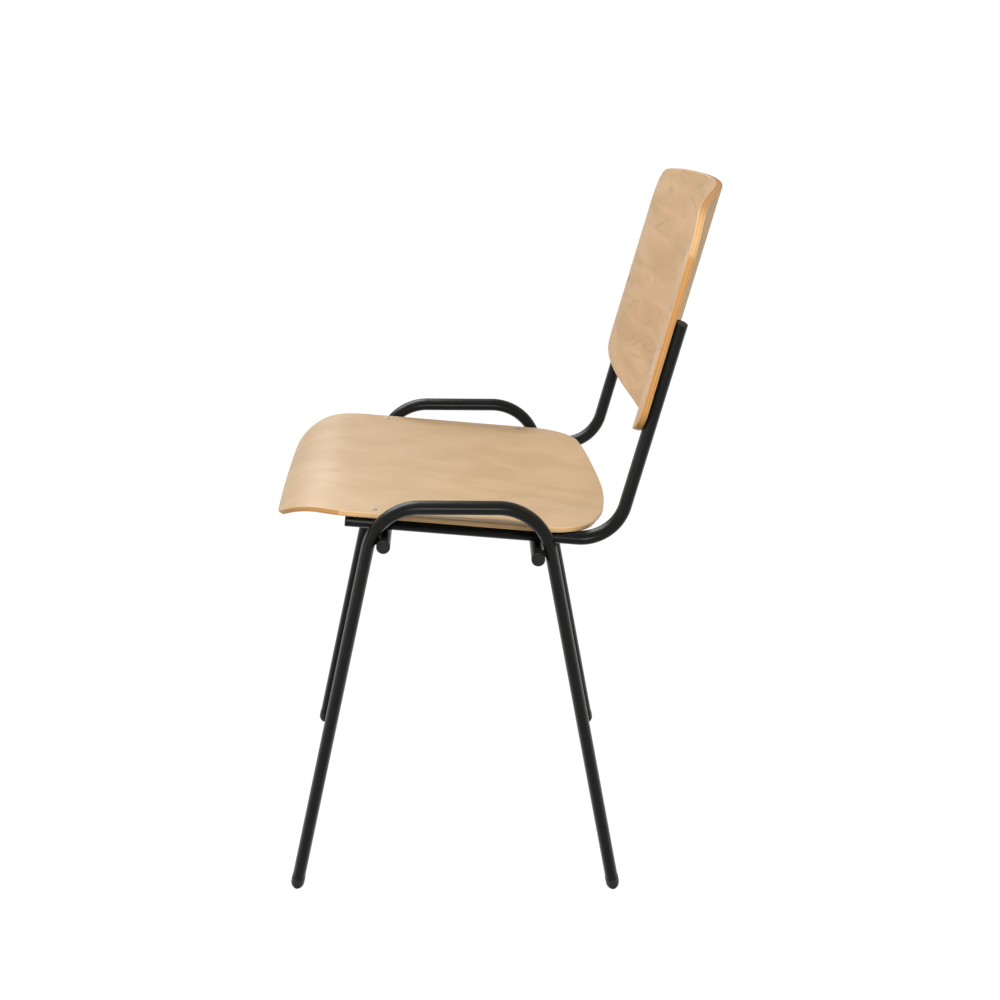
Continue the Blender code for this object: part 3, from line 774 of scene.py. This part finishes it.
def moulded_shell(node, grid, height, veneer_place, thickness, to_chair, finishes):
    """Closed shell under a face given as height(x, y) over a grid of plan points, with a rounded rim.

    The grid ends beside the rim's rounding. Each point keeps its place in the veneer and its depth
    below the face as a share of the thickness.
    """
    bm = bmesh.new()
    layer = bm.verts.layers.float_vector.new("veneer")

    def face_point(plan):
        return Vector((*plan, height(*plan)))

    def normal(plan):
        x, y = plan
        slope_x = (height(x + SLOPE_STEP, y) - height(x - SLOPE_STEP, y)) / (2 * SLOPE_STEP)
        slope_y = (height(x, y + SLOPE_STEP) - height(x, y - SLOPE_STEP)) / (2 * SLOPE_STEP)
        return Vector((-slope_x, -slope_y, 1.0)).normalized()

    def under_point(plan):
        return face_point(plan) - normal(plan) * thickness

    def add(point, plan, depth):
        vertex = bm.verts.new(to_chair @ point)
        vertex[layer] = (*veneer_place(*plan), depth / thickness)
        return vertex

    top = [[add(face_point(plan), plan, 0.0) for plan in column] for column in grid]
    bottom = [[add(under_point(plan), plan, thickness) for plan in column] for column in grid]
    columns, rows = len(grid), len(grid[0])
    for c in range(columns - 1):
        for r in range(rows - 1):
            quad = ((c, r), (c + 1, r), (c + 1, r + 1), (c, r + 1))
            bm.faces.new([top[i][j] for i, j in quad])
            bm.faces.new([bottom[i][j] for i, j in reversed(quad)]).material_index = UNDERSIDE
    border = [(c, 0) for c in range(columns)] + [(columns - 1, r) for r in range(1, rows)]
    border += [(c, rows - 1) for c in range(columns - 2, -1, -1)]
    border += [(0, r) for r in range(rows - 2, 0, -1)]
    plans = [grid[c][r] for c, r in border]
    points = [face_point(plan) for plan in plans]
    rings = [[top[c][r] for c, r in border]]
    ways = directions(points, closed=True)
    for inset, depth in rim_profile(thickness):
        ring = []
        for plan, point, along in zip(plans, points, ways):
            up = normal(plan)
            out = along.cross(up).normalized()
            ring.append(add(point + out * (RIM_INSET - inset) - up * depth, plan, depth))
        rings.append(ring)
    rings.append([bottom[c][r] for c, r in border])
    for number, (first, second) in enumerate(zip(rings, rings[1:])):
        from_ends = min(number, len(rings) - 2 - number)
        if from_ends > RIM_FACE_STEPS:
            finish = RIM
        else:
            finish = FACE if number == from_ends else UNDERSIDE
        for k in range(len(border)):
            following = (k + 1) % len(border)
            rim_face = bm.faces.new((first[k], second[k], second[following], first[following]))
            rim_face.material_index = finish
    add_piece(node + "_beech", bm, finishes, [node])


SEAT_HALF_WIDTH = leg_x(RAIL_HEIGHT + TUBE_DEPTH) - TUBE_WIDTH / 2 - SEAT_SIDE_GAP
SEAT_REAR = RAIL_BEND_START + SEAT_REAR_REACH
SEAT_FRONT = SEAT_REAR - SEAT_DEPTH
SEAT_TOP = TUBE_DEPTH / 2 + CONTACT_GAP + SEAT_THICKNESS


def smooth_step(share):
    share = min(max(share, 0.0), 1.0)
    return share * share * (3 - 2 * share)


def into_nose(y):
    """How far a place lies inside the roll; the roll begins softly and ends at its full length."""
    inside = SEAT_FRONT + NOSE_LENGTH - y
    full = (NOSE_LENGTH + math.hypot(NOSE_LENGTH, NOSE_START)) / 2
    return (inside + math.hypot(inside, NOSE_START)) / 2 * NOSE_LENGTH / full


def seat_height(x, y):
    nose = NOSE_RADIUS - math.sqrt(NOSE_RADIUS ** 2 - into_nose(y) ** 2)
    dish_half = RAIL_X - TUBE_WIDTH / 2 - DISH_RAIL_MARGIN
    across = max(1 - abs(x / dish_half) ** DISH_FLATNESS, 0.0) ** DISH_SOFTNESS
    along = smooth_step((y - SEAT_REAR + DISH_LENGTH) / DISH_LENGTH)
    return SEAT_TOP - nose - DISH_DEPTH * across * along


def seat_veneer_place(x, y):
    """Place on the flat veneer before it was bent over the nose."""
    inside = into_nose(y)
    return x, y + inside - NOSE_RADIUS * math.asin(inside / NOSE_RADIUS)


def seat_shell(finishes):
    half = SEAT_HALF_WIDTH - RIM_INSET
    tip_slope = math.cos(math.asin(NOSE_LENGTH / NOSE_RADIUS))
    front_reach = -SEAT_FRONT - RIM_INSET * tip_slope
    rear_reach = SEAT_REAR - RIM_INSET
    front_arch, front_corner = SEAT_FRONT_ARCH - RIM_INSET, SEAT_FRONT_CORNER - RIM_INSET
    rear_arch, rear_corner = SEAT_REAR_ARCH - RIM_INSET, SEAT_REAR_CORNER - RIM_INSET
    grid = []
    for x in shell_columns(half, front_corner):
        front = -rounded_edge(x, half, front_reach, front_arch, front_corner)
        rear = rounded_edge(x, half, rear_reach, rear_arch, rear_corner)
        grid.append([(x, front + (rear - front) * row / SEAT_ROWS) for row in range(SEAT_ROWS + 1)])
    moulded_shell(
        "seat_shell", grid, seat_height, seat_veneer_place, SEAT_THICKNESS, SEAT_FRAME, finishes
    )


BACK_HALF_WIDTH = RAIL_X + BACK_OVERHANG
BACK_SIDE_Y = -(TUBE_DEPTH / 2 + CONTACT_GAP + BACK_THICKNESS)
BACK_MIDDLE = UPRIGHT_LENGTH - BACK_DROP + BACK_LENGTH / 2


def back_height(x, up):
    """Face of the backrest towards the sitter, measured forwards: flat sides and a hollow between them."""
    share = min(abs(x) / (BACK_HALF_WIDTH - BACK_FLAT), 1.0)
    return -BACK_SIDE_Y - BACK_HOLLOW * (1 + math.cos(math.pi * share)) / 2


def back_veneer_place(x, up):
    return x, up


def back_shell(finishes):
    half = BACK_HALF_WIDTH - RIM_INSET
    reach = BACK_LENGTH / 2 - RIM_INSET
    grid = []
    for x in shell_columns(half, BACK_TOP_CORNER - RIM_INSET):
        low = -rounded_edge(x, half, reach, BACK_BOTTOM_ARCH - RIM_INSET, BACK_BOTTOM_CORNER - RIM_INSET)
        high = rounded_edge(x, half, reach, BACK_TOP_ARCH - RIM_INSET, BACK_TOP_CORNER - RIM_INSET)
        column = []
        for row in range(BACK_ROWS + 1):
            up = low + (high - low) * row / BACK_ROWS
            drawn_in = 1 - BACK_TAPER / BACK_HALF_WIDTH * (up / BACK_LENGTH + 0.5)
            column.append((x * drawn_in, BACK_MIDDLE + up))
        grid.append(column)
    face_forward = BACK_FRAME @ Matrix.Rotation(math.pi / 2, 4, "X")
    moulded_shell(
        "back_shell", grid, back_height, back_veneer_place, BACK_THICKNESS, face_forward, finishes
    )


# Bolts

def hexagon_ring(half_flat, height, sides):
    ring = []
    for k in range(sides):
        angle = 2 * math.pi * k / sides
        from_flat = (angle + math.pi / 6) % (math.pi / 3) - math.pi / 6
        radius = half_flat / math.cos(from_flat)
        ring.append(Vector((radius * math.cos(angle), radius * math.sin(angle), height)))
    return ring


def bolt(node, matrix, length, zinc):
    """Domed bolt with a hexagon socket; the frame's origin is on the shell's face, Z points out of it."""
    shank = BOLT_DIAMETER / 2
    head = BOLT_HEAD_DIAMETER / 2
    sections = [(shank, -length), (shank, CONTACT_GAP), (head - BOLT_HEAD_EASE, CONTACT_GAP)]
    rings = [oval_ring(radius, radius, height, BOLT_SIDES) for radius, height in sections]
    dome_end = math.acos((BOLT_SOCKET + 4 * BOLT_SOCKET_EASE) / head)
    for turn in (dome_end * k / BOLT_DOME_STEPS for k in range(BOLT_DOME_STEPS + 1)):
        radius = head * math.cos(turn)
        height = CONTACT_GAP + BOLT_HEAD_HEIGHT * math.sin(turn)
        rings.append(oval_ring(radius, radius, height, BOLT_SIDES))
    socket_top = CONTACT_GAP + BOLT_HEAD_HEIGHT * math.sin(dome_end)
    rings.append(hexagon_ring(BOLT_SOCKET + BOLT_SOCKET_EASE, socket_top, BOLT_SIDES))
    rings.append(hexagon_ring(BOLT_SOCKET, socket_top - BOLT_SOCKET_EASE, BOLT_SIDES))
    rings.append(hexagon_ring(BOLT_SOCKET, socket_top - BOLT_SOCKET_DEPTH, BOLT_SIDES))
    bm = loft([[matrix @ point for point in ring] for ring in rings])
    add_piece(node + "_plated", bm, [zinc], [node])


def bolts(name, side, zinc):
    for end in CROSS:
        low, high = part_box(f"seat_bolt_{end}_{name}")
        head_y = (low.y + high.y) / 2 - FEET_MIDDLE_Y
        along = head_y / math.cos(RAIL_PITCH) - SEAT_TOP * math.tan(RAIL_PITCH)
        matrix = SEAT_FRAME @ Matrix.Translation((side * RAIL_X, along, SEAT_TOP))
        bolt(f"seat_bolt_{end}_{name}", matrix, SEAT_TOP - BOLT_END_ROOM, zinc)
    face = Vector((side * RAIL_X, BACK_SIDE_Y, UPRIGHT_LENGTH - BACK_BOLT_DROP))
    matrix = BACK_FRAME @ aim(face, FORWARDS, UP)
    bolt("back_bolt_" + name, matrix, -BACK_SIDE_Y - BOLT_END_ROOM, zinc)


# Studio

def studio_camera():
    data = bpy.data.cameras.new("camera")
    data.lens = CAMERA_LENS
    data.sensor_width = CAMERA_SENSOR
    data.shift_x = -HALF_PIXEL
    data.shift_y = HALF_PIXEL
    camera = bpy.data.objects.new("camera", data)
    backwards = CAMERA_RIGHT.cross(CAMERA_UP)
    turned = Matrix((CAMERA_RIGHT, CAMERA_UP, backwards)).transposed().to_4x4()
    camera.matrix_world = Matrix.Translation(CAMERA_PLACE) @ turned
    bpy.context.scene.collection.objects.link(camera)
    bpy.context.scene.camera = camera


def softbox(name, place, width, height, power):
    data = bpy.data.lights.new(name, "AREA")
    data.shape = "RECTANGLE"
    data.size = width
    data.size_y = height
    data.energy = power
    lamp = bpy.data.objects.new(name, data)
    lamp.location = place
    lamp.rotation_euler = (SOFTBOX_AIM - Vector(place)).to_track_quat("-Z", "Y").to_euler()
    bpy.context.scene.collection.objects.link(lamp)


def studio_walls():
    """World light: white walls under a dark ceiling."""
    world = bpy.data.worlds.new("studio")
    world.use_nodes = True
    bpy.context.scene.world = world
    f = Finish(world.node_tree)
    way = f.node("ShaderNodeTexCoord", out="Generated")
    ceiling = f.smooth(f.axis(way, "Z"), *CEILING_BORDER)
    light = f.mix(ceiling, (WALL_LIGHT,) * 3, (CEILING_LIGHT,) * 3)
    glow = f.node("ShaderNodeBackground", None, {"Color": light, "Strength": 1.0})
    f.node("ShaderNodeOutputWorld", None, {"Surface": glow})


def studio_floor():
    bm = bmesh.new()
    bmesh.ops.create_grid(bm, x_segments=1, y_segments=1, size=FLOOR_HALF)
    mesh = bpy.data.meshes.new("floor")
    bm.to_mesh(mesh)
    bm.free()
    mesh.materials.append(white_floor())
    floor = bpy.data.objects.new("floor", mesh)
    bpy.context.scene.collection.objects.link(floor)


# The chair

coated = powder_coat()
plastic_black = black_plastic()
plated = zinc_plate()
# Painted light on the edges: the seat's edge is painted paler behind its front stretch, which stays darker
# as painted shade; the back's edge is painted paler below its top corner
seat_edge = ply_edge("beech_seat_edge", painted_light_span=(-140 * MM, 300 * MM), painted_light_share=0.85)
back_edge = ply_edge("beech_back_edge", painted_light_span=(340 * MM, 378 * MM), painted_light_share=0.45)
seat_face = beech_face(
    "beech_seat_veneer", pale=(0.665, 0.46, 0.27), tan=(0.575, 0.387, 0.21),
    blotch_lengths=(55 * MM, 70 * MM, 1.0), streak_lengths=(9 * MM, 170 * MM, 1.0),
    flame_share=0.05, lacquer=0.21, offset=(3.1, 1.7, 0.0),
)
back_face = beech_face(
    "beech_back_veneer", pale=(0.69, 0.46, 0.265), tan=(0.54, 0.345, 0.178),
    blotch_lengths=(95 * MM, 27 * MM, 1.0), streak_lengths=(30 * MM, 80 * MM, 1.0),
    flame_share=0.34, lacquer=0.14, offset=(8.3, 5.9, 0.0),
)
# Beech of the rear faces and undersides: the wood's tones, set paler and more olive than the face veneer as
# painted light for faces that lie in shade
rear_beech_painted_light = beech_face(
    "beech_rear_painted_light", pale=(0.84, 0.57, 0.285), tan=(0.74, 0.485, 0.23),
    blotch_lengths=(30 * MM, 60 * MM, 1.0), streak_lengths=(9 * MM, 170 * MM, 1.0),
    flame_share=0.2, lacquer=0.0, offset=(5.2, 2.6, 0.0),
)
for side_name, sign in SIDES.items():
    leg_frame(side_name, sign, coated)
    rail(side_name, sign, coated)
    welds(side_name, sign, coated)
    plugs(side_name, sign, plastic_black)
    bolts(side_name, sign, plated)
    for end_name in FEET:
        foot(end_name, side_name, plastic_black)
for end_name in CROSS:
    cross_tube(end_name, coated)
seat_shell([seat_face, seat_edge, rear_beech_painted_light])
back_shell([back_face, back_edge, rear_beech_painted_light])

studio_camera()
studio_walls()
studio_floor()
for lamp_name, lamp_settings in SOFTBOXES.items():
    softbox(lamp_name, *lamp_settings)
bpy.context.scene.view_settings.view_transform = "Standard"
